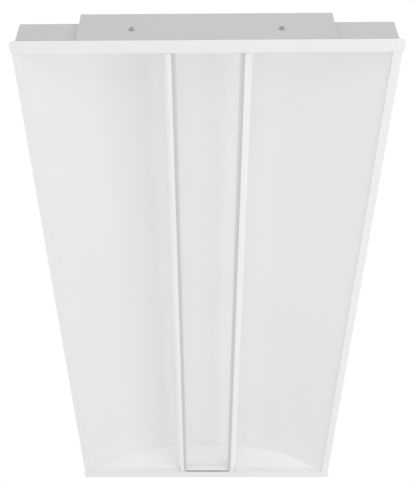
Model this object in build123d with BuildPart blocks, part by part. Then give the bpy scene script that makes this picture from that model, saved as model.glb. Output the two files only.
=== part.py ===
"""Recessed troffer light, nominal 2 ft by 4 ft lay-in size, with a hinged edge-lit optic tray.

X runs across the light, Y along it from the near end to the far end, and Z up into the ceiling.
The origin is the centre of the face that rests on the ceiling grid. Units are millimetres.
Right-hand and far-end pieces are drawn, and their left-hand and near-end twins are mirrored.
"""
import os
from build123d import *

os.makedirs("parts", exist_ok=True)

# Driving dimensions: housing
length = 1212.85
width = 603.25
sheet = 0.8
rail_lip = 7.0
rail_tab = 12.0
end_face = 21.5  # width of the end flanges, seen from below
side_face = 14.2  # width of the side rails, seen from below
rail_inset = 2.0  # side rails stand this far in from the end flanges' corners
corner_radius = 6.0
body_width = 590.8
wing_height = 69.2  # shallow side parts of the housing
deck_inner = 188.0  # half width of the gap between the two top decks
deck_lip = 8.0
box_width = 399.9
box_height = 88.4  # raised middle part of the housing
box_lap = 12.0  # reach of the box ends' returns over the raised box
end_inset = 3.2  # outer face of the box ends, in from the end flanges' edges
end_setback = 6.0  # the low end walls stand this far behind the box ends
plate_return = 12.0  # reach of the end plates' returns over the decks

# Driving dimensions: reflector
vault_foot = 4.0
vault_rise = 68.8
crown_width = 96.0  # flat strip along the top of the vault
skirt_height = 14.0  # upright part of each end reflector, below its lean
end_lean = 0.36  # inward run for each millimetre of rise
skirt_hole = 3.1
edge_gap = 0.3
arch_gap = 0.05  # between the vault and the end reflectors' arched edges

# Driving dimensions: optic tray
tray_x = 2.2  # the tray's middle line lies this far to the right of the light's
tray_length = 1164.0
tray_bottom = 3.2
rail_height = 11.8
cover_wall = 1.2
bend_radius = 0.6
cover_inner = 57.1  # half distance between the covers' inner edges
cover_outer = 64.2
cover_top = 69.6  # the outer face leans out to here
lip_inner = 50.3  # half width of the clear strip
web_outer = 53.9
channel_wall = 1.0
channel_flange = 1.2
guide_play = 0.1
guide_thickness = 5.0
guide_length = 1159.0
board_thickness = 1.0
led_count = 48
led_pitch = 24.0
led_size = (3.0, 2.4)
led_depth = 0.7
bar_depth = 2.8  # white cross bar at each end of the tray
tab_size = (10.0, 18.0)
tab_thickness = 1.2
seal_size = (1.2, 3.4)  # dark foam strip behind each cross bar
hinge_x = -61.5
hinge_z = 8.0
pin_radius = 2.5
pin_bore = 1.5
running_gap = 0.05
bush_wall = 1.8
bush_length = 6.0
bracket_foot = (26.0, 7.0, 1.4)
bracket_web = (16.0, 1.6)
block_length = 16.0
block_gap = 1.4
leaf_thickness = 0.5
leaf_width = 3.6

# Driving dimensions: fittings
driver_size = (30.0, 360.0, 17.0)
driver_x = 95.0
driver_y = 80.0
driver_tab = (26.0, 12.0, 1.2)
terminal_size = (27.0, 20.0, 13.0)
terminal_gap = 28.0  # from the access opening to the terminal block
pole_mouth = 3.4
pole_pitch = 8.0
access_opening = (110.0, 80.0)
access_y = -380.0
access_lap = 10.0
access_lip = 3.0
access_play = 0.6
access_screw_gap = 6.0
opening_radius = 4.0
conduit_radius = 11.1
conduit_x = 73.0
clip_y = 470.0
clip_z = 49.0
clip_height = 12.0
clip_reach = 26.0
clip_leaf = 1.0
clip_hook = 2.0
clip_eye = 1.8
clip_standoff = 2.9
clip_pin_radius = 1.0
ear_height = 2.7
ear_width = 3.8
clip_plate = 14.0
hanger_x = 250.0
hanger_y = 520.0
hanger_radius = 3.0
end_screw_x = 116.5
end_screw_z = 39.7
screw_radius = 1.9
screw_clearance = 0.3
screw_shank = 6.0
end_screw_shank = 9.0
hidden_sides = 8  # shanks, and the holes that heads hide, have flat sides
pan_head = (3.6, 1.8)  # radius and height of a head
hex_head = (3.3, 2.6)
hex_washer = (4.4, 0.8)
tray_screw_radius = 1.5
tray_screw_head = (2.6, 1.2)
ground_x = 165.0
ground_head = (4.0, 2.5)
lead_radius = 1.4
lead_bend = 12.0
mains_radius = 3.0
mains_bend = 70.0
mains_slack = (8.0, 5.0)
lead_drop = 9.0  # leads run this far below the box top

# Worked out from the dimensions above
half_length = length / 2
half_width = width / 2
mouth_y = half_length - end_face
rail_outer = half_width - rail_inset
mouth_x = rail_outer - side_face
wall_x = body_width / 2
box_end_y = half_length - end_inset
box_half = box_end_y - sheet
end_wall_y = box_end_y - end_setback
box_x = box_width / 2 - sheet
box_top = box_height - sheet
deck_top = wing_height - sheet
crown_x = crown_width / 2
reflector_top = vault_rise + 5
rail_top = tray_bottom + rail_height
guide_bottom = tray_bottom + 2.1
guide_top = guide_bottom + guide_thickness
guide_middle = (guide_bottom + guide_top) / 2
tray_half = tray_length / 2
pin_x = tray_x + hinge_x
access_screw_y = access_y - access_opening[1] / 2 - access_screw_gap
driver_tab_spacing = driver_size[1] + driver_tab[1]
driver_ceiling = box_top - sheet


def save(builder, name, middle=0.0):
    """Label a finished piece, set it on its middle line and write it as one STEP file."""
    piece = builder.part.moved(Location((middle, 0, 0)))
    piece.label = name
    export_step(piece, f"parts/{name}.step")


def save_mirrored(builder, name, about, middle=0.0):
    """Write the mirror twin of a finished piece."""
    with BuildPart() as twin:
        mirror(builder.part, about=about)
    save(twin, name, middle)


def bent_sheet(plane, path, thickness=sheet):
    """Section of a folded sheet: the path of one skin, thickened to the left of its run."""
    skin = [Vector(*point) for point in path]
    runs = [(end - start).normalized() for start, end in zip(skin, skin[1:])]
    other_skin = []
    for corner, before, after in zip(skin, runs[:1] + runs, runs + runs[-1:]):
        left = Vector(-before.Y - after.Y, before.X + after.X)
        other_skin.append(corner + left * (thickness / (1 + before.dot(after))))
    with BuildSketch(plane) as section:
        with BuildLine():
            Polyline(*skin, *reversed(other_skin), close=True)
        make_face()
    return section.sketch


# Side rail: the flange that rests on the grid, with an inner lip that carries the vault
with BuildPart() as side_rail_right:
    section = bent_sheet(
        Plane.XZ,
        [(mouth_x, vault_foot), (mouth_x, sheet), (rail_outer, sheet), (rail_outer, rail_lip)],
    )
    extrude(section, amount=end_wall_y - 2 * sheet, both=True)
save(side_rail_right, "side_rail_right")
save_mirrored(side_rail_right, "side_rail_left", Plane.YZ)

# Wing shell: outer side wall and shallow top deck, folded from one sheet
with BuildPart() as wing_shell_right:
    section = bent_sheet(
        Plane.XZ,
        [
            (wall_x + 3.2, 2 * sheet),
            (wall_x - sheet, 2 * sheet),
            (wall_x - sheet, deck_top - sheet),
            (deck_inner + sheet, deck_top - sheet),
            (deck_inner + sheet, deck_top - deck_lip),
        ],
        thickness=-sheet,
    )
    extrude(section, amount=end_wall_y - sheet, both=True)
    with BuildSketch(Plane.XY.offset(wing_height)):
        with GridLocations(0, 2 * hanger_y, 1, 2):
            with Locations((hanger_x, 0)):
                Circle(hanger_radius)
    extrude(amount=-3 * sheet, mode=Mode.SUBTRACT)
save(wing_shell_right, "wing_shell_right")
save_mirrored(wing_shell_right, "wing_shell_left", Plane.YZ)

# Vault reflector: one curved sheet with a flat crown, hooked over both side rails
with BuildPart() as vault_reflector:
    with BuildSketch(Plane.XZ):
        with BuildLine():
            foot_edge = wall_x - 2
            Line((foot_edge, vault_foot), (mouth_x, vault_foot))
            TangentArc((crown_x, vault_rise), (mouth_x, vault_foot), tangent=(1, 0))
            Line((crown_x, vault_rise), (-crown_x, vault_rise))
            TangentArc((-crown_x, vault_rise), (-mouth_x, vault_foot), tangent=(-1, 0))
            Line((-mouth_x, vault_foot), (-foot_edge, vault_foot))
            offset(amount=sheet, side=Side.RIGHT, kind=Kind.INTERSECTION)
        make_face()
    extrude(amount=mouth_y + 2, both=True)
save(vault_reflector, "vault_reflector")

# End reflector: end flange, upright skirt and leaning arched plate, folded from one sheet
with BuildPart() as end_reflector_far:
    section = bent_sheet(
        Plane.YZ,
        [
            (mouth_y + 5, 0),
            (mouth_y, 0),
            (mouth_y, skirt_height),
            (mouth_y - end_lean * (reflector_top - skirt_height), reflector_top),
        ],
        thickness=-sheet,
    )
    extrude(section, amount=mouth_x, both=True)
    with BuildSketch(Plane.XZ):  # outline under the vault
        with BuildLine():
            low = vault_foot - arch_gap
            high = vault_rise - arch_gap
            right_end = mouth_x - edge_gap
            Line((-right_end, 0), (right_end, 0))
            Line((right_end, 0), (right_end, low))
            TangentArc((crown_x, high), (right_end, low), tangent=(1, 0))
            Line((crown_x, high), (-crown_x, high))
            TangentArc((-crown_x, high), (-right_end, low), tangent=(-1, 0))
            Line((-right_end, low), (-right_end, 0))
        make_face()
    extrude(amount=length, both=True, mode=Mode.INTERSECT)
    with BuildSketch():  # flange with rounded outer corners
        with Locations((0, half_length - end_face / 2)):
            Rectangle(width, end_face)
        fillet(vertices().group_by(Axis.Y)[-1], radius=corner_radius)
    extrude(amount=sheet)
    with BuildSketch():  # tabs beside the side rails' outer lips
        with GridLocations(2 * rail_outer + sheet, 0, 2, 1):
            with Locations((0, half_length - corner_radius - rail_tab / 2)):
                Rectangle(sheet, rail_tab)
    extrude(amount=rail_lip - sheet)
    with BuildSketch(Plane.XZ.offset(-mouth_y - 2 * sheet)):  # holes for the pin and the catch
        with GridLocations(2 * hinge_x, 0, 2, 1):
            with Locations((tray_x, hinge_z)):
                Circle(skirt_hole)
    extrude(amount=4 * sheet, mode=Mode.SUBTRACT)
save(end_reflector_far, "end_reflector_far")
save_mirrored(end_reflector_far, "end_reflector_near", Plane.XZ)

# End plate: outer end wall of the housing, with a foot on the flange and a return over the decks
with BuildPart() as end_plate_far:
    section = bent_sheet(
        Plane.YZ,
        [
            (half_length - 1.5, sheet),
            (end_wall_y - sheet, sheet),
            (end_wall_y - sheet, deck_top),
            (end_wall_y - plate_return, deck_top),
        ],
        thickness=-sheet,
    )
    extrude(section, amount=wall_x, both=True)
    with BuildSketch(Plane.XY.offset(deck_top)):  # the return stops at the raised box
        with Locations((0, end_wall_y)):
            Rectangle(box_width + 2 * edge_gap, 3 * plate_return)
    extrude(amount=2 * sheet, mode=Mode.SUBTRACT)
    with BuildSketch(Plane.XZ.offset(-end_wall_y)):
        with GridLocations(2 * end_screw_x, 0, 2, 1):
            with Locations((0, end_screw_z)):
                RegularPolygon(screw_radius + screw_clearance, hidden_sides)
    extrude(amount=sheet, mode=Mode.SUBTRACT)
save(end_plate_far, "end_plate_far")
save_mirrored(end_plate_far, "end_plate_near", Plane.XZ)

# Back box: raised middle of the housing, which holds the driver and the wiring
with BuildPart() as back_box:
    section = bent_sheet(
        Plane.XZ,
        [
            (deck_inner + 2, deck_top),
            (box_x, deck_top),
            (box_x, box_top),
            (-box_x, box_top),
            (-box_x, deck_top),
            (-deck_inner - 2, deck_top),
        ],
    )
    extrude(section, amount=box_half, both=True)
    with BuildSketch(Plane.XY.offset(box_top)):
        with Locations((driver_x, access_y)):
            RectangleRounded(*access_opening, opening_radius)
        with Locations((driver_x, access_screw_y)):
            RegularPolygon(screw_radius + screw_clearance, hidden_sides)
        with Locations((driver_x, driver_y)):
            with GridLocations(0, driver_tab_spacing, 1, 2):
                RegularPolygon(screw_radius + screw_clearance, hidden_sides)
    extrude(amount=-sheet, mode=Mode.SUBTRACT)
save(back_box, "back_box")

# Box end: plate in front of the end wall, with side returns down to it and a lap round the box
with BuildPart() as box_end_far:
    with BuildSketch(Plane.XZ.offset(-box_end_y)):
        with Locations((0, (box_height + 2 * sheet) / 2)):
            Rectangle(box_width, box_height - 2 * sheet)
        with GridLocations(2 * end_screw_x, 0, 2, 1):
            with Locations((0, end_screw_z)):
                RegularPolygon(screw_radius + screw_clearance, hidden_sides, mode=Mode.SUBTRACT)
    extrude(amount=sheet)
    with BuildSketch(Plane.XZ.offset(-box_half)):
        with GridLocations(2 * box_x + sheet, 0, 2, 1):
            with Locations((0, (wing_height + 2 * sheet) / 2)):
                Rectangle(sheet, wing_height - 2 * sheet)
    extrude(amount=box_half - end_wall_y)
    with BuildSketch(Plane.XZ.offset(-box_half)):
        with Locations((0, (wing_height + box_height) / 2)):
            Rectangle(box_width, box_height - wing_height)
        with Locations((0, (wing_height + box_top) / 2)):
            Rectangle(2 * box_x, box_top - wing_height, mode=Mode.SUBTRACT)
    extrude(amount=box_lap)
save(box_end_far, "box_end_far")
save_mirrored(box_end_far, "box_end_near", Plane.XZ)

# Box end screws: hex heads on a washer
with BuildPart() as box_end_screws_far:
    with BuildSketch(Plane.XZ.offset(-box_end_y)):
        with GridLocations(2 * end_screw_x, 0, 2, 1):
            with Locations((0, end_screw_z)):
                Circle(hex_washer[0])
    extrude(amount=-hex_washer[1])
    with BuildSketch(Plane.XZ.offset(-box_end_y - hex_washer[1])):
        with GridLocations(2 * end_screw_x, 0, 2, 1):
            with Locations((0, end_screw_z)):
                RegularPolygon(hex_head[0], 6)
    extrude(amount=-hex_head[1])
    with BuildSketch(Plane.XZ.offset(-box_end_y)):
        with GridLocations(2 * end_screw_x, 0, 2, 1):
            with Locations((0, end_screw_z)):
                RegularPolygon(screw_radius, hidden_sides)
    extrude(amount=end_screw_shank)
save(box_end_screws_far, "box_end_screws_far")
save_mirrored(box_end_screws_far, "box_end_screws_near", Plane.XZ)

# Hinge bracket: foot on the end flange, upright web, and a bush for the hollow hinge pin
bush_start = mouth_y + sheet + edge_gap
bush_end = bush_start + bush_length
web_top = hinge_z + pin_radius + bush_wall
with BuildPart() as hinge_bracket_far:
    with BuildSketch(Plane.XY.offset(sheet)):
        with Locations((pin_x, bush_start + bracket_foot[1] / 2)):
            Rectangle(bracket_foot[0], bracket_foot[1])
    extrude(amount=bracket_foot[2])
    with BuildSketch(Plane.XZ.offset(-bush_start - bush_length / 2)):
        with Locations((pin_x, (sheet + web_top) / 2)):
            Rectangle(bracket_web[0], web_top - sheet)
    extrude(amount=bracket_web[1] / 2, both=True)
    with BuildSketch(Plane.XZ.offset(-bush_start)):
        with Locations((pin_x, hinge_z)):
            Circle(pin_radius + bush_wall)
    extrude(amount=-bush_length)
    with BuildSketch(Plane.XZ.offset(-bush_start)):
        with Locations((pin_x, hinge_z)):
            Circle(pin_radius + running_gap)
    extrude(amount=-bush_length, mode=Mode.SUBTRACT)
save(hinge_bracket_far, "hinge_bracket_far")
save_mirrored(hinge_bracket_far, "hinge_bracket_near", Plane.XZ)

# Driver: slim metal can hung under the box top, with a tab at each end
with BuildPart() as driver:
    with BuildSketch(Plane.XZ.offset(-driver_y)):
        with Locations((driver_x, driver_ceiling - driver_size[2] / 2)):
            Rectangle(driver_size[0], driver_size[2])
        fillet(vertices().group_by(Axis.Y)[0], radius=1.2)
    extrude(amount=driver_size[1] / 2, both=True)
    with BuildSketch(Plane.XY.offset(driver_ceiling)):
        with Locations((driver_x, driver_y)):
            Rectangle(driver_tab[0], driver_size[1] + 2 * driver_tab[1])
            with GridLocations(0, driver_tab_spacing, 1, 2):
                RegularPolygon(screw_radius + screw_clearance, hidden_sides, mode=Mode.SUBTRACT)
    extrude(amount=-driver_tab[2])
save(driver, "driver")

with BuildPart() as driver_screws:
    with BuildSketch(Plane.XY.offset(box_top)):
        with Locations((driver_x, driver_y)):
            with GridLocations(0, driver_tab_spacing, 1, 2):
                Circle(pan_head[0])
    extrude(amount=pan_head[1])
    with BuildSketch(Plane.XY.offset(box_top)):
        with Locations((driver_x, driver_y)):
            with GridLocations(0, driver_tab_spacing, 1, 2):
                RegularPolygon(screw_radius, hidden_sides)
    extrude(amount=-screw_shank)
save(driver_screws, "driver_screws")

# Terminal block: three push-in poles beside the access opening
terminal_y = access_y + (access_opening[1] + terminal_size[1]) / 2 + terminal_gap
terminal_end = terminal_y + terminal_size[1] / 2
with BuildPart() as terminal_block:
    with BuildSketch(Plane.XY.offset(driver_ceiling - terminal_size[2])):
        with Locations((driver_x, terminal_y)):
            Rectangle(terminal_size[0], terminal_size[1])
    extrude(amount=terminal_size[2])
    chamfer(faces().sort_by(Axis.Z)[0].edges(), length=1.5)
    with BuildSketch(Plane.XZ.offset(terminal_size[1] / 2 - terminal_y)):
        with Locations((driver_x, driver_ceiling - terminal_size[2] / 2)):
            with GridLocations(pole_pitch, 0, 3, 1):
                Rectangle(pole_mouth, pole_mouth)
    extrude(amount=-terminal_size[1] / 3, mode=Mode.SUBTRACT)
save(terminal_block, "terminal_block")

# Leads with flat-sided jackets: mains to the driver, and the driver's output to the hollow pin
lead_z = driver_ceiling - lead_drop
driver_near = driver_y - driver_size[1] / 2
driver_far = driver_y + driver_size[1] / 2
mains_middle = (terminal_end + driver_near) / 2
with BuildPart() as mains_lead:
    with BuildLine() as mains_route:
        FilletPolyline(
            (driver_x, terminal_end, lead_z),
            (driver_x, terminal_end + mains_bend / 2, lead_z),
            (driver_x + mains_slack[0], mains_middle, lead_z - mains_slack[1]),
            (driver_x, driver_near - mains_bend / 2, lead_z),
            (driver_x, driver_near, lead_z),
            radius=mains_bend,
        )
    with BuildSketch(Plane(mains_route.line @ 0, z_dir=mains_route.line % 0)):
        RegularPolygon(mains_radius, hidden_sides)
    sweep()
save(mains_lead, "mains_lead")

drop_y = (bush_end + end_wall_y - sheet) / 2
with BuildPart() as led_lead:
    with BuildLine() as led_route:
        FilletPolyline(
            (driver_x, driver_far, lead_z),
            (driver_x, drop_y, lead_z),
            (pin_x, drop_y, lead_z),
            (pin_x, drop_y, hinge_z),
            (pin_x, bush_end, hinge_z),
            radius=[lead_bend, lead_bend, lead_radius + 0.2],
        )
    with BuildSketch(Plane(led_route.line @ 0, z_dir=led_route.line % 0)):
        RegularPolygon(lead_radius, hidden_sides)
    sweep()
save(led_lead, "led_lead")

# Ground screw under the box top, beside the access opening
with BuildPart() as ground_screw:
    with BuildSketch(Plane.XY.offset(driver_ceiling)):
        with Locations((ground_x, access_y)):
            RegularPolygon(ground_head[0], 6)
    extrude(amount=-ground_head[1])
save(ground_screw, "ground_screw")

# Optic tray: its pieces are drawn round X = 0 and saved on the tray's own middle line

# Rail cover: white folded cover, bottom face in view and outer face leaning outwards
with BuildPart() as rail_cover_right:
    section = bent_sheet(
        Plane.XZ,
        [
            (cover_inner, tray_bottom),
            (cover_outer, tray_bottom),
            (cover_top, rail_top),
            (web_outer + 1, rail_top),
        ],
        thickness=cover_wall,
    )
    extrude(section, amount=tray_half, both=True)
    fillet(edges().filter_by(Axis.Y).group_by(Axis.X)[-1], radius=bend_radius)
    fillet(edges().filter_by(Axis.Y).group_by(Axis.Z)[0].sort_by(Axis.X)[-1], radius=bend_radius)
save(rail_cover_right, "rail_cover_right", tray_x)
save_mirrored(rail_cover_right, "rail_cover_left", Plane.YZ, tray_x)

# LED channel: extruded channel that holds the light guide's edge and the LED board
lip_x = (lip_inner + web_outer) / 2
web_bottom = guide_bottom - guide_play - channel_wall
web_top = rail_top - cover_wall
flange_end = cover_outer + 1.5
with BuildPart() as led_channel_right:
    with BuildSketch(Plane.XZ):
        with Locations((web_outer - channel_wall / 2, (web_bottom + web_top) / 2)):
            Rectangle(channel_wall, web_top - web_bottom)
        for z in (web_bottom + channel_wall / 2, guide_top + guide_play + channel_wall / 2):
            with Locations((lip_x, z)):
                Rectangle(web_outer - lip_inner, channel_wall)
        with Locations(((web_outer + flange_end) / 2, web_top - channel_flange / 2)):
            Rectangle(flange_end - web_outer, channel_flange)
    extrude(amount=guide_length / 2, both=True)
save(led_channel_right, "led_channel_right", tray_x)
save_mirrored(led_channel_right, "led_channel_left", Plane.YZ, tray_x)

# LED board and its row of LEDs, facing the light guide's edge
board_face = web_outer - channel_wall - board_thickness
with BuildPart() as led_board_right:
    with BuildSketch(Plane.XZ):
        with Locations((board_face + board_thickness / 2, guide_middle)):
            Rectangle(board_thickness, guide_thickness)
    extrude(amount=(led_count * led_pitch - running_gap) / 2, both=True)
save(led_board_right, "led_board_right", tray_x)
save_mirrored(led_board_right, "led_board_left", Plane.YZ, tray_x)

with BuildPart() as led_row_right:
    with BuildSketch(Plane.YZ.offset(board_face)):
        with Locations((0, guide_middle)):
            with GridLocations(led_pitch, 0, led_count, 1):
                Rectangle(*led_size)
    extrude(amount=-led_depth)
save(led_row_right, "led_row_right", tray_x)
save_mirrored(led_row_right, "led_row_left", Plane.YZ, tray_x)

# Light guide: clear panel that rests on the channels' lips
guide_edge = board_face - led_depth - guide_play
with BuildPart() as light_guide:
    with BuildSketch(Plane.XY.offset(guide_bottom)):
        Rectangle(2 * guide_edge, guide_length)
    extrude(amount=guide_thickness)
save(light_guide, "light_guide", tray_x)

# Tray end: white cross bar behind the light guide, with a tab over each rail
bar_y = guide_length / 2 + 0.9
bar_width = 2 * (web_outer - channel_wall) - 0.4
tab_spacing = 2 * cover_inner + 6
screw_y = bar_y - 10
with BuildPart() as tray_end_far:
    with BuildSketch(Plane.XZ.offset(-bar_y)):
        with Locations((0, (web_bottom + rail_top) / 2)):
            Rectangle(bar_width, rail_top - web_bottom)
    extrude(amount=-bar_depth)
    with BuildSketch(Plane.XY.offset(rail_top)):
        with Locations((0, bar_y + bar_depth / 2)):
            Rectangle(tab_spacing + tab_size[0], bar_depth)
        with GridLocations(tab_spacing, 0, 2, 1):
            with Locations((0, bar_y + bar_depth - tab_size[1] / 2)):
                Rectangle(*tab_size)
            with Locations((0, screw_y)):
                RegularPolygon(tray_screw_radius, hidden_sides, mode=Mode.SUBTRACT)
    extrude(amount=tab_thickness)
save(tray_end_far, "tray_end_far", tray_x)
save_mirrored(tray_end_far, "tray_end_near", Plane.XZ, tray_x)

with BuildPart() as end_seal_far:
    with BuildSketch(Plane.XZ.offset(-bar_y - bar_depth)):
        with Locations((0, web_bottom + seal_size[1] / 2 - seal_size[0])):
            Rectangle(bar_width, seal_size[1])
    extrude(amount=-seal_size[0])
save(end_seal_far, "end_seal_far", tray_x)
save_mirrored(end_seal_far, "end_seal_near", Plane.XZ, tray_x)

with BuildPart() as tray_screws:
    with BuildSketch(Plane.XY.offset(rail_top + tab_thickness)):
        with GridLocations(tab_spacing, 2 * screw_y, 2, 2):
            Circle(tray_screw_head[0])
    extrude(amount=tray_screw_head[1])
    with BuildSketch(Plane.XY.offset(rail_top + tab_thickness)):
        with GridLocations(tab_spacing, 2 * screw_y, 2, 2):
            RegularPolygon(tray_screw_radius, hidden_sides)
    extrude(amount=-tab_thickness)
save(tray_screws, "tray_screws", tray_x)

# Hinge block inside the left rail's end, and the hollow pin that it carries
block_top = rail_top - cover_wall - block_gap
block_bottom = tray_bottom + cover_wall + guide_play
block_foot = cover_outer - 0.9  # just inside the cover's outer face, low down
block_head = cover_top - 2.8  # and high up
block_end = tray_half - 0.4
with BuildPart() as hinge_block_far:
    with BuildSketch(Plane.XZ.offset(-block_end)):
        with BuildLine():
            Polyline(
                (-web_outer - 0.8, block_bottom),
                (-block_foot, block_bottom),
                (-block_head, block_top),
                (-web_outer - 0.8, block_top),
                close=True,
            )
        make_face()
        with Locations((hinge_x, hinge_z)):
            Circle(pin_radius, mode=Mode.SUBTRACT)
    extrude(amount=block_length)
save(hinge_block_far, "hinge_block_far", tray_x)
save_mirrored(hinge_block_far, "hinge_block_near", Plane.XZ, tray_x)

with BuildPart() as hinge_pin_far:
    with BuildSketch(Plane.XZ.offset(-bush_end)):
        with Locations((hinge_x, hinge_z)):
            Circle(pin_radius)
            Circle(pin_bore, mode=Mode.SUBTRACT)
    extrude(amount=bush_end - block_end + block_length - 2)
save(hinge_pin_far, "hinge_pin_far", tray_x)
save_mirrored(hinge_pin_far, "hinge_pin_near", Plane.XZ, tray_x)

# Spring catch: bent leaf in the right rail's end, whose nose snaps into the end reflector
nose_y = mouth_y - 0.5
nose_root = tray_half - 3
with BuildPart() as spring_catch_far:
    section = bent_sheet(
        Plane.YZ.offset(-hinge_x - leaf_width / 2),
        [
            (tray_half - 24, block_bottom + leaf_thickness),
            (nose_root, block_bottom + leaf_thickness),
            (nose_y, hinge_z),
            (nose_root, block_top - leaf_thickness),
            (tray_half - 12, block_top - leaf_thickness),
        ],
        thickness=leaf_thickness,
    )
    extrude(section, amount=leaf_width)
save(spring_catch_far, "spring_catch_far", tray_x)
save_mirrored(spring_catch_far, "spring_catch_near", Plane.XZ, tray_x)

# Access plate: lies over the wiring opening, with a conduit hole, locating tabs and one screw
tab_gap = 2 * access_play + sheet
tab_short = 4 * opening_radius
with BuildPart() as access_plate:
    with BuildSketch(Plane.XY.offset(box_top)):
        with Locations((driver_x, access_y)):
            RectangleRounded(access_opening[0] + 2 * access_lap, access_opening[1] + 2 * access_lap, 5)
        with Locations((conduit_x, access_y)):
            Circle(conduit_radius, mode=Mode.SUBTRACT)
        with Locations((driver_x, access_screw_y)):
            RegularPolygon(screw_radius, hidden_sides, mode=Mode.SUBTRACT)
    extrude(amount=sheet)
    with BuildSketch(Plane.XY.offset(box_top)):
        with Locations((driver_x, access_y)):
            with GridLocations(0, access_opening[1] - tab_gap, 1, 2):
                Rectangle(access_opening[0] - tab_short, sheet)
            with GridLocations(access_opening[0] - tab_gap, 0, 2, 1):
                Rectangle(sheet, access_opening[1] - tab_short)
    extrude(amount=-access_lip)
save(access_plate, "access_plate")

with BuildPart() as access_screw:
    with BuildSketch(Plane.XY.offset(box_height)):
        with Locations((driver_x, access_screw_y)):
            Circle(pan_head[0])
    extrude(amount=pan_head[1])
    with BuildSketch(Plane.XY.offset(box_height)):
        with Locations((driver_x, access_screw_y)):
            RegularPolygon(screw_radius, hidden_sides)
    extrude(amount=-screw_shank)
save(access_screw, "access_screw")

# Grid clips: swing-out leaves on upright pins, held by folded brackets high on the side walls
clip_x = wall_x + clip_standoff
clip_bottom = clip_z - clip_height / 2
bracket_bottom = clip_bottom - edge_gap - ear_height
bracket_height = clip_height + 2 * (edge_gap + ear_height)
with BuildPart() as clip_bracket_right_far:
    with BuildSketch(Plane.XY.offset(bracket_bottom)):
        with Locations((wall_x + sheet / 2, clip_y)):
            Rectangle(sheet, clip_plate)
        with Locations((clip_x, clip_y)):
            Circle(clip_pin_radius)
    extrude(amount=bracket_height)
    for z in (bracket_bottom, clip_z + clip_height / 2 + edge_gap):
        with BuildSketch(Plane.XY.offset(z)):
            with Locations((wall_x + (clip_standoff + clip_eye) / 2, clip_y)):
                Rectangle(clip_standoff + clip_eye, ear_width)
        extrude(amount=ear_height)
with BuildPart() as grid_clip_right_far:
    with BuildSketch(Plane.XY.offset(clip_bottom)):
        with Locations((clip_x, clip_y)):
            Circle(clip_eye)
        with Locations((clip_x, clip_y - clip_reach / 2)):
            Rectangle(clip_leaf, clip_reach)
        with Locations((clip_x + clip_leaf / 2, clip_y - clip_reach)):
            Rectangle(clip_hook, clip_leaf)
        with Locations((clip_x, clip_y)):
            Circle(clip_pin_radius + running_gap, mode=Mode.SUBTRACT)
    extrude(amount=clip_height)
for builder, name in ((clip_bracket_right_far, "clip_bracket"), (grid_clip_right_far, "grid_clip")):
    save(builder, f"{name}_right_far")
    save_mirrored(builder, f"{name}_right_near", Plane.XZ)
    with BuildPart() as left_twin:
        mirror(builder.part, about=Plane.YZ)
    save(left_twin, f"{name}_left_far")
    save_mirrored(left_twin, f"{name}_left_near", Plane.XZ)
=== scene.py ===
"""Finishes, fastener heads, LED packages and studio of a recessed troffer light: a Blender add-on.

model.glb gives every solid its place. Lengths are in metres, with X across the light, Y along it
and Z up into the ceiling. Run as a script, the file finishes the light and sets up its studio.
"""
import itertools
import math

import bmesh
import bpy
from bpy.props import FloatProperty, FloatVectorProperty, IntProperty, PointerProperty
from mathutils import Matrix, Vector


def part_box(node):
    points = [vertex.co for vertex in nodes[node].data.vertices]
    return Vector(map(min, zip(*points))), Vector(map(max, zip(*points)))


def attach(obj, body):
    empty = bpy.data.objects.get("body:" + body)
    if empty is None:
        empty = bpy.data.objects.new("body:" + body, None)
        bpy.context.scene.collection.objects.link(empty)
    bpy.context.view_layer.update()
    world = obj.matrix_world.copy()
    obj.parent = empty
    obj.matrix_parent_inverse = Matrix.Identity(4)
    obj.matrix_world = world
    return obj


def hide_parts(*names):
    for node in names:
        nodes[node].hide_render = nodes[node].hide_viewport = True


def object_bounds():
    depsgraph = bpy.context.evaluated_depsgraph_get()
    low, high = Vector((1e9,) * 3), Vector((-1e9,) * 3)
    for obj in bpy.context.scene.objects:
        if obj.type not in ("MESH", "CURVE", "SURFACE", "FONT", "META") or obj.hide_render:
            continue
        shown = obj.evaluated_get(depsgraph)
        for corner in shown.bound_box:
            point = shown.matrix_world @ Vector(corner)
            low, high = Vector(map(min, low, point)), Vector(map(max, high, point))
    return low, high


bl_info = {
    "name": "Recessed Troffer Light",
    "version": (1, 0, 0),
    "blender": (4, 5, 0),
    "location": "View3D > Sidebar > Troffer",
    "description": "Finishes, fasteners and LED packages of a recessed troffer light",
    "category": "Object",
}

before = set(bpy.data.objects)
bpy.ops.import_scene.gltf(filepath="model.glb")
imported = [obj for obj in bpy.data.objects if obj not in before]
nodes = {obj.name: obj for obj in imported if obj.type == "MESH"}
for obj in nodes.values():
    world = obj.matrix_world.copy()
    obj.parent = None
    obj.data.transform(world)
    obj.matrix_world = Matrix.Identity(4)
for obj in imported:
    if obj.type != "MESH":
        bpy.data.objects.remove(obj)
cad_low, cad_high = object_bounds()

MM = 0.001
MERGE_REACH = 0.001 * MM  # points closer than this are taken as one
MIX_A, MIX_B, MIX_RESULT = 6, 7, 2  # a Mix node's sockets for colours

# The tray's rails
CHANNEL_FLANGE = 11.8 * MM  # from a channel's web to the end of its flange
SLOT_WIDTH = 3.2 * MM  # between a channel's web and the cover's inner edge
COVER_REACH = 10.2 * MM  # from a channel's web to the cover's outer face, low down

# Screw heads
TWIST_PER_MM = 7.3  # radians, so that no two crosses stand alike
PAN_SCREWS = (  # node, radius and height of the head, body
    ("driver_screws", 3.6 * MM, 1.8 * MM, "housing"),
    ("access_screw", 3.6 * MM, 1.8 * MM, "housing"),
    ("tray_screws", 2.6 * MM, 1.2 * MM, "optic_tray"),
)

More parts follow.
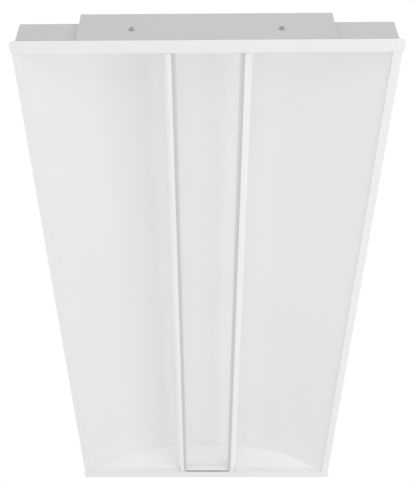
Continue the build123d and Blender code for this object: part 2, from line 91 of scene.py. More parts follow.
# Stiffening beads: the sheet that carries them, then x, first y and last y in millimetres
BOX_BEAD = 545
DECK_BEAD = 470
PAST_ACCESS_PLATE = -300
BEADS = (
    ("back_box", -150, -BOX_BEAD, BOX_BEAD),
    ("back_box", -75, -BOX_BEAD, BOX_BEAD),
    ("back_box", 0, -BOX_BEAD, BOX_BEAD),
    ("back_box", 172, PAST_ACCESS_PLATE, BOX_BEAD),
    ("wing_shell_left", -250, -DECK_BEAD, DECK_BEAD),
    ("wing_shell_right", 250, -DECK_BEAD, DECK_BEAD),
)
# A bead from its foot to its crown, as shares of its half width and of its height
BEAD_PROFILE = ((1, 0), (0.86, 0.12), (0.66, 0.55), (0.45, 0.88), (0.22, 0.98))

# Clinch joints: the sheet that carries them, their inset, and places as shares of its half width
CLINCHES = (
    ("end_plate", 6.0 * MM, (-0.92, -0.76, 0.76, 0.92)),
    ("box_end", 6.8 * MM, (-0.9, -0.3, 0.3, 0.9)),
)
# A clinch from its sunk middle to its foot, as shares of its radius and of its height
CLINCH_PROFILE = ((0, 0.3), (0.55, 0.3), (0.72, 1), (0.9, 1), (1, 0))

# Which CAD nodes take which finish
FACE_NODES = ("end_reflector_far", "end_reflector_near", "side_rail_left", "side_rail_right")
REFLECTOR_NODES = ("vault_reflector",)
HOUSING_NODES = (
    "wing_shell_left", "wing_shell_right", "back_box", "box_end_far", "box_end_near",
    "end_plate_far", "end_plate_near", "access_plate",
)
COVER_NODES = ("rail_cover_left", "rail_cover_right", "tray_end_far", "tray_end_near")
SEAL_NODES = ("end_seal_far", "end_seal_near")
CHANNEL_NODES = ("led_channel_left", "led_channel_right")
BOARD_NODES = ("led_board_left", "led_board_right")
LEAD_NODES = ("mains_lead", "led_lead")
CAST_NODES = ("hinge_block_far", "hinge_block_near")
ZINC_NODES = (
    "hinge_pin_far", "hinge_pin_near", "hinge_bracket_far", "hinge_bracket_near",
    "clip_bracket_left_far", "clip_bracket_left_near", "clip_bracket_right_far",
    "clip_bracket_right_near",
)
SPRING_NODES = (
    "spring_catch_far", "spring_catch_near", "grid_clip_left_far", "grid_clip_left_near",
    "grid_clip_right_far", "grid_clip_right_near",
)


def colour_property(name, description, default):
    """A colour without alpha."""
    return FloatVectorProperty(
        name=name, description=description, default=default, subtype="COLOR", size=3, min=0, max=1
    )


def length_property(name, description, default):
    """A length in metres."""
    return FloatProperty(
        name=name, description=description, default=default, unit="LENGTH", precision=5, min=0
    )


def power_property(name, description, default):
    """A lamp's power in watts."""
    return FloatProperty(name=name, description=description, default=default, unit="POWER")


class TrofferFinishes(bpy.types.PropertyGroup):
    """Colours and grain sizes of the light's finishes."""

    face_white: colour_property("Face white", "Powder coat of the flanges", (0.895, 0.89, 0.89))
    reflector_white: colour_property(
        "Reflector white", "Matte paint of the vault", (0.878, 0.874, 0.874)
    )
    # A grey well below the flanges' white: the housing's paint, darkened as painted shade
    housing_shaded_grey: colour_property("Housing grey", "Paint of the housing", (0.62, 0.613, 0.609))
    cover_white: colour_property("Cover white", "Powder coat of the rails", (0.925, 0.92, 0.92))
    aluminium: colour_property("Aluminium", "Drawn channels of the tray", (0.76, 0.755, 0.75))
    gasket: colour_property("Gasket", "Strips that close the rails' slots", (0.66, 0.655, 0.65))
    # Nearly black: painted shade, standing in for the shadow in the gaps behind the cross bars
    seal_foam: colour_property(
        "Seal foam", "Foam strips behind the cross bars", (0.09, 0.088, 0.085)
    )
    zinc: colour_property("Zinc", "Plated pins and brackets", (0.60, 0.60, 0.60))
    # Darker than the plain zinc: painted shade on the screws' heads
    screw_zinc_shaded: colour_property("Screw zinc", "Duller plating of the screws", (0.50, 0.50, 0.495))
    spring_steel: colour_property("Spring steel", "Catches and grid clips", (0.45, 0.45, 0.46))
    phosphor: colour_property("Phosphor", "Resin of the LEDs", (0.90, 0.78, 0.32))
    lead_jacket: colour_property("Lead jacket", "Sleeve of the leads", (0.20, 0.20, 0.20))
    # Painted glow: an emission that brightens the clear strip between the rails, standing in for
    # light that the lamps don't give
    guide_painted_glow: FloatProperty(
        name="Guide glow", description="Strength of the LEDs' dimmed light in the guide",
        default=0.3, min=0,
    )
    peel_size: length_property("Orange peel", "Width of the ripples in the paint", 1.6 * MM)
    peel_depth: length_property("Peel depth", "Height of the ripples in the paint", 0.006 * MM)


class TrofferFasteners(bpy.types.PropertyGroup):
    """Sizes of the modelled screw heads."""

    hex_radius: length_property("Hex radius", "Centre to corner of the hex heads", 3.3 * MM)
    washer_radius: length_property("Washer radius", "Radius of the hex heads' washer", 4.4 * MM)
    washer_height: length_property("Washer height", "Thickness of the washer", 0.8 * MM)
    recess_length: length_property("Recess length", "Length of each arm of the cross", 1.7 * MM)
    recess_width: length_property("Recess width", "Width of the cross's arms", 0.7 * MM)
    recess_depth: length_property("Recess depth", "Depth of the cross in the head", 1.0 * MM)


class TrofferPressings(bpy.types.PropertyGroup):
    """Sizes of what is pressed into the housing's sheets."""

    clinch_radius: length_property("Clinch radius", "Radius of the pressed joints", 2.6 * MM)
    clinch_height: length_property("Clinch height", "Height of the pressed joints", 0.45 * MM)
    bead_radius: length_property("Bead radius", "Half width of the stiffening beads", 5.0 * MM)
    bead_height: length_property("Bead height", "Height of the stiffening beads", 2.0 * MM)


class TrofferLeds(bpy.types.PropertyGroup):
    """Sizes of the LED packages along both edges of the light guide."""

    count: IntProperty(name="Count", description="LEDs on each board", default=48, min=2)
    rim: length_property("Rim", "Width of the white rim round the resin", 0.32 * MM)
    well: length_property("Well", "Depth of the resin below the rim", 0.12 * MM)


class TrofferStudio(bpy.types.PropertyGroup):
    """Camera, lamps and floor."""

    lens: FloatProperty(name="Lens", description="Focal length", default=63.96, unit="CAMERA")
    ambient: FloatProperty(name="Ambient", description="Strength of the sky", default=0.77, min=0)
    near_power: power_property("Near lamp", "Power of the low lamp at the near end", 10)
    left_power: power_property("Left lamp", "Power of the lamp on the left", 17)
    right_power: power_property("Right lamp", "Power of the lamp on the right", 19)
    over_power: power_property("Over lamp", "Power of the lamp above", 16)
    end_power: power_property("End lamp", "Power of the lamp beside the near end", 9)
    floor_drop: length_property("Floor drop", "Height of the ceiling above the floor", 3.2)
    floor_colour: colour_property("Floor", "Paint of the floor", (0.85, 0.85, 0.85))


class Value:
    """One output socket, used in expressions that add Math or Vector Math nodes."""

    def __init__(self, shader, socket):
        self.shader = shader
        self.socket = socket

    def combine(self, operation, first, second):
        """A Math node, or a Vector Math node where this socket is a vector."""
        kind = "ShaderNodeVectorMath" if self.socket.type == "VECTOR" else "ShaderNodeMath"
        return self.shader.node(kind, {"operation": operation}, {0: first, 1: second})

    def __add__(self, other):
        return self.combine("ADD", self, other)

    __radd__ = __add__

    def __sub__(self, other):
        return self.combine("SUBTRACT", self, other)

    def __rsub__(self, other):
        return self.combine("SUBTRACT", other, self)

    def __mul__(self, other):
        return self.combine("MULTIPLY", self, other)

    __rmul__ = __mul__

    def __pow__(self, other):
        return self.combine("POWER", self, other)

    def __rpow__(self, other):
        return self.combine("POWER", other, self)


class Shader:
    """A material's or world's node tree, emptied and filled again."""

    def __init__(self, owner):
        owner.use_nodes = True
        self.tree = owner.node_tree
        self.tree.nodes.clear()

    def node(self, kind, settings=None, sockets=None, output=0):
        """Adds a node: its settings first, then the values or links of its sockets."""
        made = self.tree.nodes.new(kind)
        for name, value in (settings or {}).items():
            setattr(made, name, value)
        for name, value in (sockets or {}).items():
            if isinstance(value, Value):
                self.tree.links.new(value.socket, made.inputs[name])
            else:
                made.inputs[name].default_value = value
        return Value(self, made.outputs[output]) if made.outputs else None

    def noise(self, vector, size, detail=2.0):
        """Noise from 0 to 1 with features of the given size in metres."""
        return self.node(
            "ShaderNodeTexNoise", {}, {"Vector": vector, "Scale": 1 / size, "Detail": detail}
        )

    def place(self, stretch=(1, 1, 1)):
        """The point on the piece in its own frame, scaled along each axis."""
        point = self.node("ShaderNodeTexCoord", output="Object")
        return self.node("ShaderNodeMapping", {}, {"Vector": point, "Scale": stretch})

    def shade(self, factor, low, high):
        """A colour between low and high."""
        return self.node(
            "ShaderNodeMix",
            {"data_type": "RGBA"},
            {"Factor": factor, MIX_A: (*low, 1.0), MIX_B: (*high, 1.0)},
            output=MIX_RESULT,
        )

    def bump(self, height, depth):
        """A normal pushed by height times depth in metres."""
        return self.node("ShaderNodeBump", {}, {"Height": height, "Distance": depth})

    def surface(self, **sockets):
        """A Principled shader, by its sockets' names with underscores for spaces."""
        named = {name.replace("_", " "): value for name, value in sockets.items()}
        return self.node("ShaderNodeBsdfPrincipled", {}, named)

    def finish(self, surface, kind="ShaderNodeOutputMaterial"):
        """Joins the shader to the material's or the world's output."""
        self.node(kind, {}, {"Surface": surface})


def new_material(name):
    """An empty material and its shader."""
    material = bpy.data.materials.new(name)
    return material, Shader(material)


def lighter(colour, factor):
    """The colour times factor, kept below white."""
    return tuple(min(1.0, channel * factor) for channel in colour)


def uneven(middle, *parts):
    """A value around its middle, varied by noises that are each given with their amount."""
    result = middle - sum(amount for _, amount in parts) / 2
    for noise, amount in parts:
        result = noise * amount + result
    return result


def paint(name, colour, finishes, roughness, coat=0.0):
    """Sprayed paint: fine orange peel, a faint change of tone and of gloss."""
    material, shader = new_material(name)
    place = shader.place()
    ripples = shader.noise(place, finishes.peel_size, detail=1.0)
    cloud = shader.noise(place, 180 * MM, detail=3.0)
    grain = shader.noise(place, 0.5 * MM, detail=1.0)
    shader.finish(
        shader.surface(
            Base_Color=shader.shade(cloud, lighter(colour, 0.985), lighter(colour, 1.01)),
            Roughness=uneven(roughness, (cloud, 0.06), (grain, 0.05)),
            Normal=shader.bump(ripples, finishes.peel_depth),
            Coat_Weight=coat,
            Coat_Roughness=0.2,
        )
    )
    return material


def bare_metal(name, colour, roughness, grain, stretch=(1, 1, 1), metallic=1.0):
    """Metal with a fine grain, drawn out into lines along an axis with a small stretch."""
    material, shader = new_material(name)
    lines = shader.noise(shader.place(stretch), grain, detail=4.0)
    cloud = shader.noise(shader.place(), 12 * MM)
    shader.finish(
        shader.surface(
            Base_Color=shader.shade(lines, lighter(colour, 0.86), lighter(colour, 1.12)),
            Metallic=metallic,
            Roughness=uneven(roughness, (lines, 0.12), (cloud, 0.08)),
            Normal=shader.bump(lines, 0.01 * MM),
        )
    )
    return material


def plastic(name, colour, roughness, grain=0.4 * MM):
    """Moulded plastic with a fine spark-eroded grain."""
    material, shader = new_material(name)
    place = shader.place()
    speckle = shader.noise(place, grain)
    flow = shader.noise(place, 9 * MM)
    shader.finish(
        shader.surface(
            Base_Color=shader.shade(flow, lighter(colour, 0.95), lighter(colour, 1.04)),
            Roughness=uneven(roughness, (speckle, 0.15)),
            Normal=shader.bump(speckle, 0.012 * MM),
        )
    )
    return material


def foam(name, colour, cell=0.7 * MM):
    """Closed-cell foam: small round cells, lightest in their middles, in a dull skin."""
    material, shader = new_material(name)
    walls = shader.node(
        "ShaderNodeTexVoronoi",
        {"feature": "SMOOTH_F1"},
        {"Vector": shader.place(), "Scale": 1 / cell},
    )
    shader.finish(
        shader.surface(
            Base_Color=shader.shade(1 - walls, lighter(colour, 0.7), lighter(colour, 1.5)),
            Roughness=walls * 0.15 + 0.8,
            Normal=shader.bump(walls, 0.15 * MM),
        )
    )
    return material


def clear_guide(name, glow):
    """Polished acrylic with a little haze and a faint painted glow; gloss grows at flat angles."""
    material, shader = new_material(name)
    haze = shader.noise(shader.place(), 60 * MM)
    facing = shader.node("ShaderNodeLayerWeight", {}, {"Blend": 0.5}, output="Facing")
    polished = shader.surface(
        Base_Color=(0.92, 0.93, 0.93, 1.0),
        Roughness=haze * 0.03 + 0.03,
        IOR=1.49,
        # Painted glow, which brightens the strip between the rails
        Emission_Color=(1.0, 1.0, 0.99, 1.0),
        Emission_Strength=glow,
    )
    clear = shader.node("ShaderNodeBsdfTransparent", {}, {"Color": (0.997, 0.997, 0.997, 1.0)})
    gloss = facing**5 * 0.88 + 0.05
    shader.finish(shader.node("ShaderNodeMixShader", {}, {0: gloss, 1: clear, 2: polished}))
    return material


def dress(names, material):
    """Gives CAD nodes one material in place of what they have."""
    for name in names:
        slots = nodes[name].data.materials
        slots.clear()
        slots.append(material)


def crease(names, width):
    """Rounds the sharp folds and cut edges of CAD nodes for the render."""
    for name in names:
        nodes[name].modifiers.new("edge_weld", "WELD").merge_threshold = MERGE_REACH
        rounding = nodes[name].modifiers.new("edge_round", "BEVEL")
        rounding.width = width
        rounding.segments = 2
        rounding.limit_method = "ANGLE"
        rounding.angle_limit = math.radians(40)
        rounding.harden_normals = True


def add_box(builder, size, middle=(0, 0, 0)):
    """A plain box round its middle; gives back its points."""
    points = bmesh.ops.create_cube(builder, size=1.0)["verts"]
    bmesh.ops.scale(builder, vec=size, verts=points)
    bmesh.ops.translate(builder, vec=middle, verts=points)
    return points


def add_bar(builder, corner, opposite, edge_radius):
    """A square bar between two opposite corners; rounds the edges at the builder's last points."""
    low = Vector([min(pair) for pair in zip(corner, opposite)])
    high = Vector([max(pair) for pair in zip(corner, opposite)])
    before = len(builder.verts)
    add_box(builder, high - low, (low + high) / 2)
    builder.verts.ensure_lookup_table()
    # A new box takes places that an earlier bevel has freed, so these can be an older bar's points
    last_points = set(builder.verts[before:])
    edges = [edge for edge in builder.edges if edge.verts[0] in last_points]
    bmesh.ops.bevel(builder, geom=edges, offset=edge_radius, segments=2, affect="EDGES")


def add_bead(builder, start, end, radius, height):
    """A rounded stiffening bead pressed out of a flat sheet between two points."""
    half_turn = 8  # sides of each rounded end
    heading = (end - start).normalized()
    across = Vector((heading.y, -heading.x, 0))
    rings = []
    for share, rise in BEAD_PROFILE:
        ring = []
        for centre, first in ((end, 0), (start, math.pi)):
            for step in range(half_turn + 1):
                angle = first + math.pi * step / half_turn
                reach = across * math.cos(angle) + heading * math.sin(angle)
                lift = Vector((0, 0, height * rise))
                ring.append(builder.verts.new(centre + reach * radius * share + lift))
        rings.append(ring)
    for lower, upper in zip(rings, rings[1:]):
        for index in range(len(lower)):
            after = (index + 1) % len(lower)
            builder.faces.new((lower[index], lower[after], upper[after], upper[index]))
    builder.faces.new(rings[-1])


def turned(profile, steps=28):
    """A round solid from its profile of (radius, height) points, standing on the Z axis."""
    builder = bmesh.new()
    points = [builder.verts.new((radius, 0, height)) for radius, height in profile]
    edges = [builder.edges.new(pair) for pair in zip(points, points[1:])]
    bmesh.ops.spin(
        builder, geom=points + edges, cent=(0, 0, 0), axis=(0, 0, 1), angle=2 * math.pi,
        steps=steps, use_merge=True,
    )
    bmesh.ops.remove_doubles(builder, verts=builder.verts, dist=MERGE_REACH)
    bmesh.ops.recalc_face_normals(builder, faces=builder.faces)
    return builder


def stamp(builder, shape, placement):
    """Adds a copy of a mesh to the builder, put in its place by a matrix."""
    start = len(builder.verts)
    builder.from_mesh(shape)
    builder.verts.ensure_lookup_table()
    bmesh.ops.transform(builder, matrix=placement, verts=builder.verts[start:])


def to_object(builder, name):
    """A new object in the scene from a mesh builder, which is used up."""
    mesh = bpy.data.meshes.new(name)
    builder.to_mesh(mesh)
    builder.free()
    made = bpy.data.objects.new(name, mesh)
    bpy.context.scene.collection.objects.link(made)
    return made


def add_piece(name, builder, material, body, replaced=()):
    """Makes a mesh object, dresses it, lets it ride on a body and stand in for CAD nodes."""
    piece = to_object(builder, name)
    piece.data.materials.append(material)
    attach(piece, body)
    if replaced:
        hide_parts(*replaced)
    return piece


def cut_cross(builder, sizes, top):
    """Sinks a cross recess into the head whose top stands at the given height."""
    foot_length, foot_width = 0.45, 0.6  # of the cross's foot, as shares of its top
    middle = top - 0.4 * sizes.recess_depth
    cutter = bmesh.new()
    for turn in (0, math.pi / 2):
        arm = add_box(cutter, (2 * sizes.recess_length, sizes.recess_width, sizes.recess_depth))
        for point in arm:
            if point.co.z < 0:
                point.co.x *= foot_length
                point.co.y *= foot_width
        bmesh.ops.rotate(cutter, cent=(0, 0, 0), matrix=Matrix.Rotation(turn, 3, "Z"), verts=arm)
        bmesh.ops.translate(cutter, vec=(0, 0, middle), verts=arm)
    tool = to_object(cutter, "cross_tool")
    head = to_object(builder, "plain_head")
    cut = head.modifiers.new("cross", "BOOLEAN")
    cut.object = tool
    cut.solver = "EXACT"
    cut.use_self = True
    graph = bpy.context.evaluated_depsgraph_get()
    shape = bpy.data.meshes.new_from_object(head.evaluated_get(graph))
    for spare in (head, tool):
        spare_mesh = spare.data
        bpy.data.objects.remove(spare)
        bpy.data.meshes.remove(spare_mesh)
    return shape


def pan_head(sizes, radius, height):
    """Shape of a low round head with a cross recess."""
    rim = 0.35  # the upright rim's share of the height
    profile = [(0, 0), (radius, 0), (radius, rim * height)]
    profile += [
        (radius * math.cos(angle), height * (rim + (1 - rim) * math.sin(angle)))
        for angle in (0.35, 0.7, 1.05, 1.3)
    ]
    return cut_cross(turned([*profile, (0, height)]), sizes, height)


def hex_head(sizes, radius, height, washer=True):
    """Shape of a six-sided head with a chamfered top, on a washer where it has one."""
    chamfer, play = 0.45 * MM, 0.1 * MM
    base = sizes.washer_height if washer else 0
    builder = bmesh.new()
    bmesh.ops.create_cone(
        builder, cap_ends=True, segments=6, radius1=radius, radius2=radius, depth=height - base,
        matrix=Matrix.Translation((0, 0, (height + base) / 2)),
    )
    top = [edge for edge in builder.edges if all(v.co.z > height - play for v in edge.verts)]
    bmesh.ops.bevel(builder, geom=top, offset=chamfer, segments=2, affect="EDGES")
    shape = cut_cross(builder, sizes, height)
    if washer:
        rim = sizes.washer_radius
        disc = turned([(0, 0), (rim, 0), (rim, 0.5 * base), (0.8 * rim, base), (0, base)])
        disc.from_mesh(shape)
        disc.to_mesh(shape)
        disc.free()
    return shape


def head_places(node, radius, axis):
    """Where the heads in a node of equal screws stand along X, Y and Z; axis is the screws' own."""
    one_row = 2.2 * radius  # a node that is narrower holds a single row of screws
    low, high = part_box(node)
    choices = []
    for index in range(3):
        if index == axis:
            choices.append((low[index], high[index]))
        elif high[index] - low[index] < one_row:
            choices.append(((low[index] + high[index]) / 2,))
        else:
            choices.append((low[index] + radius, high[index] - radius))
    return choices


def set_heads(name, node, shape, radius, height, facing, material, body):
    """Puts a head in each screw's place in a CAD node, standing out along the facing vector."""
    direction = Vector(facing)
    axis = max(range(3), key=lambda index: abs(direction[index]))
    choices = head_places(node, radius, axis)
    outermost = choices[axis][1 if direction[axis] > 0 else 0]
    choices[axis] = (outermost - direction[axis] * height,)
    stand = direction.to_track_quat("Z", "Y").to_matrix().to_4x4()
    builder = bmesh.new()
    for x, y, z in itertools.product(*choices):
        twist = Matrix.Rotation(TWIST_PER_MM * (x + y) / MM, 4, "Z")
        stamp(builder, shape, Matrix.Translation((x, y, z)) @ stand @ twist)
    add_piece(name, builder, material, body, replaced=(node,))


def add_lamp(name, place, target, size, power):
    """A soft square lamp that no camera sees, turned towards a point."""
    lamp = bpy.data.lights.new(name, "AREA")
    lamp.shape = "SQUARE"
    lamp.size = size
    lamp.energy = power
    holder = bpy.data.objects.new(name, lamp)
    bpy.context.scene.collection.objects.link(holder)
    holder.location = place
    holder.visible_camera = False
    holder.rotation_euler = (Vector(target) - Vector(place)).to_track_quat("-Z", "Y").to_euler()


class TROFFER_OT_dress_housing(bpy.types.Operator):
    """Paint the flanges, the vault and the housing"""

    bl_idname = "troffer.dress_housing"
    bl_label = "Dress Housing"

    def execute(self, context):
        finishes = context.scene.troffer_finishes
        face = paint("face_paint", finishes.face_white, finishes, roughness=0.42, coat=0.2)
        reflector = paint("reflector_paint", finishes.reflector_white, finishes, roughness=0.6)
        # The housing's paint is darkened below the face white as painted shade
        housing = paint("housing_paint", finishes.housing_shaded_grey, finishes, roughness=0.5)
        dress(FACE_NODES, face)
        crease(FACE_NODES, width=0.3 * MM)
        dress(REFLECTOR_NODES, reflector)
        dress(HOUSING_NODES, housing)
        return {"FINISHED"}


class TROFFER_OT_dress_tray(bpy.types.Operator):
    """Finish the optic tray: covers and cross bars, channels, boards, light guide and seals"""

    bl_idname = "troffer.dress_tray"
    bl_label = "Dress Optic Tray"

    def execute(self, context):
        finishes = context.scene.troffer_finishes
        cover = paint("cover_paint", finishes.cover_white, finishes, roughness=0.4, coat=0.2)
        drawn = bare_metal(
            "bare_aluminium", finishes.aluminium, roughness=0.55, grain=0.3 * MM,
            stretch=(1, 0.01, 1), metallic=0.5,
        )
        dress(COVER_NODES, cover)
        dress(CHANNEL_NODES, drawn)
        dress(BOARD_NODES, plastic("board_white", (0.85, 0.86, 0.84), roughness=0.45))
        dress(("light_guide",), clear_guide("guide_acrylic", finishes.guide_painted_glow))
        # The seals' near-black is painted shade for the gaps at the tray's ends
        dress(SEAL_NODES, foam("seal_foam", finishes.seal_foam))
        return {"FINISHED"}


class TROFFER_OT_fit_gaskets(bpy.types.Operator):
    """Fit the strips that close the rails' slots, and the guards that fill gaps at their ends"""

    bl_idname = "troffer.fit_gaskets"
    bl_label = "Fit Gaskets"

    def execute(self, context):
        finishes = context.scene.troffer_finishes
        rubber = plastic("gasket_silicone", finishes.gasket, roughness=0.6)
        white = bpy.data.materials["cover_paint"]
        play, recess, thickness, edge = 0.05 * MM, 0.5 * MM, 0.75 * MM, 0.15 * MM
        guard_reach, guard_height, web_gap = 2.4 * MM, 1.1 * MM, 1.15 * MM
        for side, outward in (("left", -1), ("right", 1)):
            cover_low, cover_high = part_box(f"rail_cover_{side}")
            channel_low, channel_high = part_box(f"led_channel_{side}")
            web = channel_high.x - CHANNEL_FLANGE if outward > 0 else channel_low.x + CHANNEL_FLANGE
            near_x, slot_x, cover_x = (
                web + outward * reach for reach in (play, SLOT_WIDTH - play, COVER_REACH)
            )
            slot = bmesh.new()
            bottom = cover_low.z + recess
            add_bar(
                slot, (near_x, cover_low.y + recess, bottom),
                (slot_x, cover_high.y - recess, bottom + thickness), edge,
            )
            add_piece(f"slot_gasket_{side}", slot, rubber, "optic_tray")
            guards = bmesh.new()
            inner_x = web - outward * web_gap
            bottom = cover_low.z + play
            top = bottom + guard_height
            for y, inward in ((cover_low.y - guard_reach, 0), (cover_high.y, -guard_reach)):
                start = y + inward
                add_bar(guards, (near_x, y, bottom), (cover_x, y + guard_reach, top), edge)
                add_bar(guards, (inner_x, start, bottom), (web, start + 2 * guard_reach, top), edge)
            add_piece(f"rail_guards_{side}", guards, white, "optic_tray")
        return {"FINISHED"}


class TROFFER_OT_fit_leds(bpy.types.Operator):
    """Fit an LED package at each place of both rows: a white rim round yellow resin"""

    bl_idname = "troffer.fit_leds"
    bl_label = "Fit LEDs"

    def execute(self, context):
        finishes = context.scene.troffer_finishes
        resin = plastic("led_phosphor", finishes.phosphor, roughness=0.35, grain=0.2 * MM)
        rim = plastic("led_rim", (0.88, 0.88, 0.86), roughness=0.4)
        for side, inward in (("left", 1), ("right", -1)):
            low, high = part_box(f"led_row_{side}")
            row = add_piece(
                f"led_packages_{side}",
                self.build_row(context.scene.troffer_leds, low, high, inward),
                rim, "optic_tray", replaced=(f"led_row_{side}",),
            )
            row.data.materials.append(resin)
        return {"FINISHED"}

    @staticmethod
    def build_row(leds, low, high, inward):
        """Boxes at an even pitch, each with a sunk face of resin on its inner side."""
        centre = (low + high) / 2
        thickness, height = high.x - low.x, high.z - low.z
        length = 1.25 * height  # of a package, along the board
        pitch = (high.y - low.y - length) / (leds.count - 1)
        builder = bmesh.new()
        for index in range(leds.count):
            middle = (centre.x, low.y + length / 2 + pitch * index, centre.z)
            add_box(builder, (thickness, length, height), middle)
        faces = [face for face in builder.faces if face.normal.x * inward > 0.9]
        bmesh.ops.inset_individual(builder, faces=faces, thickness=leds.rim, depth=0)
        for face in faces:
            face.material_index = 1
            bmesh.ops.translate(builder, vec=(-inward * leds.well, 0, 0), verts=face.verts)
        return builder


class TROFFER_OT_dress_fittings(bpy.types.Operator):
    """Finish the hinges, catches, clips, driver, terminal block and leads"""

    bl_idname = "troffer.dress_fittings"
    bl_label = "Dress Fittings"

    def execute(self, context):
        finishes = context.scene.troffer_finishes
        zinc = bare_metal("zinc_steel", finishes.zinc, roughness=0.32, grain=0.6 * MM)
        cast = bare_metal("cast_zinc", (0.5, 0.5, 0.5), roughness=0.5, grain=0.9 * MM)
        spring = bare_metal(
            "spring_steel", finishes.spring_steel, roughness=0.3, grain=0.25 * MM,
            stretch=(1, 0.02, 1),
        )
        case = paint("driver_case", (0.8, 0.8, 0.8), finishes, roughness=0.45)
        terminal = plastic("terminal_plastic", (0.78, 0.76, 0.70), roughness=0.5)
        dress(ZINC_NODES, zinc)
        dress(CAST_NODES, cast)
        dress(SPRING_NODES, spring)
        dress(("driver",), case)
        dress(("terminal_block",), terminal)
        dress(LEAD_NODES, plastic("lead_jacket", finishes.lead_jacket, roughness=0.55))
        return {"FINISHED"}


class TROFFER_OT_fit_screws(bpy.types.Operator):
    """Fit the screws' heads: hex heads on washers, round cross heads and the green ground screw"""

    bl_idname = "troffer.fit_screws"
    bl_label = "Fit Screws"

    def execute(self, context):
        finishes = context.scene.troffer_finishes
        sizes = context.scene.troffer_fasteners
        # The screws' zinc is darkened as painted shade on their heads
        zinc = bare_metal("screw_zinc_shaded", finishes.screw_zinc_shaded, roughness=0.42, grain=0.5 * MM)
        green = paint("ground_green", (0.12, 0.40, 0.20), finishes, roughness=0.35)
        hex_height = 2.6 * MM
        washer_hex = hex_head(sizes, sizes.hex_radius, hex_height)
        for end, out in (("far", 1), ("near", -1)):
            set_heads(
                f"hex_heads_{end}", f"box_end_screws_{end}", washer_hex, sizes.washer_radius,
                hex_height, facing=(0, out, 0), material=zinc, body="housing",
            )
        for node, radius, height, body in PAN_SCREWS:
            pan = pan_head(sizes, radius, height)
            set_heads(
                f"{node}_heads", node, pan, radius, height,
                facing=(0, 0, 1), material=zinc, body=body,
            )
        ground_radius, ground_height = 4.0 * MM, 2.5 * MM
        ground = hex_head(sizes, ground_radius, ground_height, washer=False)
        set_heads(
            "ground_screw_head", "ground_screw", ground, ground_radius, ground_height,
            facing=(0, 0, -1), material=green, body="housing",
        )
        return {"FINISHED"}


class TROFFER_OT_press_beads(bpy.types.Operator):
    """Press the long stiffening beads into the back box and the decks"""

    bl_idname = "troffer.press_beads"
    bl_label = "Press Stiffening Beads"

    def execute(self, context):
        sizes = context.scene.troffer_pressings
        builder = bmesh.new()
        for sheet, x, first, last in BEADS:
            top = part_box(sheet)[1].z
            start = Vector((x * MM, first * MM, top))
            end = Vector((x * MM, last * MM, top))
            add_bead(builder, start, end, sizes.bead_radius, sizes.bead_height)
        bmesh.ops.recalc_face_normals(builder, faces=builder.faces)
        housing_paint = bpy.data.materials["housing_paint"]
        beads = add_piece("stiffening_beads", builder, housing_paint, "housing")
        beads.data.shade_smooth()
        return {"FINISHED"}


class TROFFER_OT_press_clinches(bpy.types.Operator):
    """Press the round clinch joints that hold the housing's sheets together"""

    bl_idname = "troffer.press_clinches"
    bl_label = "Press Clinches"

    def execute(self, context):
        sizes = context.scene.troffer_pressings
        radius, height = sizes.clinch_radius, sizes.clinch_height
        button = bpy.data.meshes.new("clinch_shape")
        profile = [(across * radius, rise * height) for across, rise in CLINCH_PROFILE]
        turned(profile, steps=20).to_mesh(button)
        builder = bmesh.new()
        for end in ("far", "near"):
            for sheet, inset, places in CLINCHES:
                low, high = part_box(f"{sheet}_{end}")
                y = low.y + inset if end == "far" else high.y - inset
                for place in places:
                    stamp(builder, button, Matrix.Translation((place * high.x, y, high.z)))
        bpy.data.meshes.remove(button)
        housing_paint = bpy.data.materials["housing_paint"]
        joints = add_piece("clinch_joints", builder, housing_paint, "housing")
        joints.data.shade_smooth()
        return {"FINISHED"}


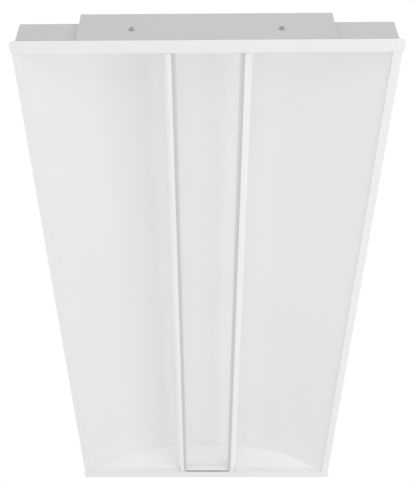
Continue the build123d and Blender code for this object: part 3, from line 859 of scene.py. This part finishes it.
class TROFFER_OT_build_studio(bpy.types.Operator):
    """Build the floor, the sky, the lamps and the camera"""

    bl_idname = "troffer.build_studio"
    bl_label = "Build Studio"

    def execute(self, context):
        studio = context.scene.troffer_studio
        self.build_sky(context, studio)
        self.build_floor(studio)
        self.build_lamps(studio)
        self.build_camera(context, studio)
        context.scene.view_settings.view_transform = "Standard"
        return {"FINISHED"}

    @staticmethod
    def build_sky(context, studio):
        """An even sky that shows as plain white to the camera, in gloss and through glass."""
        world = context.scene.world or bpy.data.worlds.new("sky")
        context.scene.world = world
        shader = Shader(world)
        camera, glossy, through = (
            shader.node("ShaderNodeLightPath", output=name)
            for name in ("Is Camera Ray", "Is Glossy Ray", "Is Transmission Ray")
        )
        white = (1.0, 1.0, 1.0, 1.0)
        soft = shader.node("ShaderNodeBackground", {}, {"Color": white, "Strength": studio.ambient})
        plain = shader.node("ShaderNodeBackground", {}, {"Color": white, "Strength": 1.0})
        shown = camera + glossy + through
        sky = shader.node("ShaderNodeMixShader", {}, {0: shown, 1: soft, 2: plain})
        shader.finish(sky, "ShaderNodeOutputWorld")

    @staticmethod
    def build_floor(studio):
        """A wide plain floor far below the ceiling light."""
        reach = 20.0
        builder = bmesh.new()
        bmesh.ops.create_grid(builder, x_segments=1, y_segments=1, size=reach)
        floor = to_object(builder, "floor")
        floor.location = (0, 0, -studio.floor_drop)
        material, shader = new_material("floor_paint")
        shader.finish(shader.surface(Base_Color=(*studio.floor_colour, 1.0), Roughness=0.9))
        floor.data.materials.append(material)

    @staticmethod
    def build_lamps(studio):
        """Soft lamps round the light, each with its place, aim, width and power."""
        middle = (cad_low + cad_high) / 2
        near_end = (0, -0.6, 0.04)
        add_lamp("near_lamp", (0.2, -3.2, -1.1), middle, 1.6, studio.near_power)
        add_lamp("left_lamp", (-3.0, -0.3, -0.9), middle, 2.2, studio.left_power)
        add_lamp("right_lamp", (2.1, -0.2, -1.7), middle, 1.8, studio.right_power)
        add_lamp("over_lamp", (-1.8, 1.0, 1.4), middle, 1.0, studio.over_power)
        add_lamp("end_lamp", (2.6, -1.9, 0.3), near_end, 0.35, studio.end_power)

    @staticmethod
    def build_camera(context, studio):
        """The photograph's camera: below the near end, looking up along the light."""
        camera = bpy.data.cameras.new("camera")
        camera.lens = studio.lens
        camera.sensor_width = 36.0
        camera.shift_x = 0.0328
        camera.shift_y = 0.0380
        holder = bpy.data.objects.new("camera", camera)
        context.scene.collection.objects.link(holder)
        place = Vector((-8.17, -1276.45, -1175.12)) * MM
        pitch, yaw, roll = 0.801657, -0.016854, 0.008603
        forward = Vector(
            (math.sin(yaw) * math.cos(pitch), math.cos(yaw) * math.cos(pitch), math.sin(pitch))
        )
        right = Vector((math.cos(yaw), -math.sin(yaw), 0))
        up = right.cross(forward)
        rolled_right = math.cos(roll) * right + math.sin(roll) * up
        rolled_up = math.cos(roll) * up - math.sin(roll) * right
        turn = Matrix((rolled_right, rolled_up, -forward)).transposed()
        holder.matrix_world = Matrix.Translation(place) @ turn.to_4x4()
        context.scene.camera = holder


class TROFFER_PT_panel(bpy.types.Panel):
    """The light's steps and settings in the sidebar"""

    bl_idname = "TROFFER_PT_panel"
    bl_label = "Recessed Troffer Light"
    bl_space_type = "VIEW_3D"
    bl_region_type = "UI"
    bl_category = "Troffer"

    def draw(self, context):
        for operator in OPERATORS:
            self.layout.operator(operator.bl_idname)
        for group in SETTINGS:
            settings = getattr(context.scene, group)
            box = self.layout.box()
            for name in settings.__annotations__:
                box.prop(settings, name)


SETTINGS = {
    "troffer_finishes": TrofferFinishes,
    "troffer_fasteners": TrofferFasteners,
    "troffer_pressings": TrofferPressings,
    "troffer_leds": TrofferLeds,
    "troffer_studio": TrofferStudio,
}
OPERATORS = (
    TROFFER_OT_dress_housing,
    TROFFER_OT_dress_tray,
    TROFFER_OT_fit_gaskets,
    TROFFER_OT_fit_leds,
    TROFFER_OT_dress_fittings,
    TROFFER_OT_fit_screws,
    TROFFER_OT_press_beads,
    TROFFER_OT_press_clinches,
    TROFFER_OT_build_studio,
)
CLASSES = (*SETTINGS.values(), *OPERATORS, TROFFER_PT_panel)


def register():
    """Registers the settings, the operators and the panel."""
    for item in CLASSES:
        bpy.utils.register_class(item)
    for name, group in SETTINGS.items():
        setattr(bpy.types.Scene, name, PointerProperty(type=group))


def unregister():
    """Takes them all away again."""
    for name in SETTINGS:
        delattr(bpy.types.Scene, name)
    for item in reversed(CLASSES):
        bpy.utils.unregister_class(item)


def main():
    """Registers the add-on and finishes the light."""
    register()
    bpy.ops.troffer.dress_housing()
    bpy.ops.troffer.dress_tray()
    bpy.ops.troffer.fit_gaskets()
    bpy.ops.troffer.fit_leds()
    bpy.ops.troffer.dress_fittings()
    bpy.ops.troffer.fit_screws()
    bpy.ops.troffer.press_beads()
    bpy.ops.troffer.press_clinches()
    bpy.ops.troffer.build_studio()


if __name__ == "__main__":
    main()
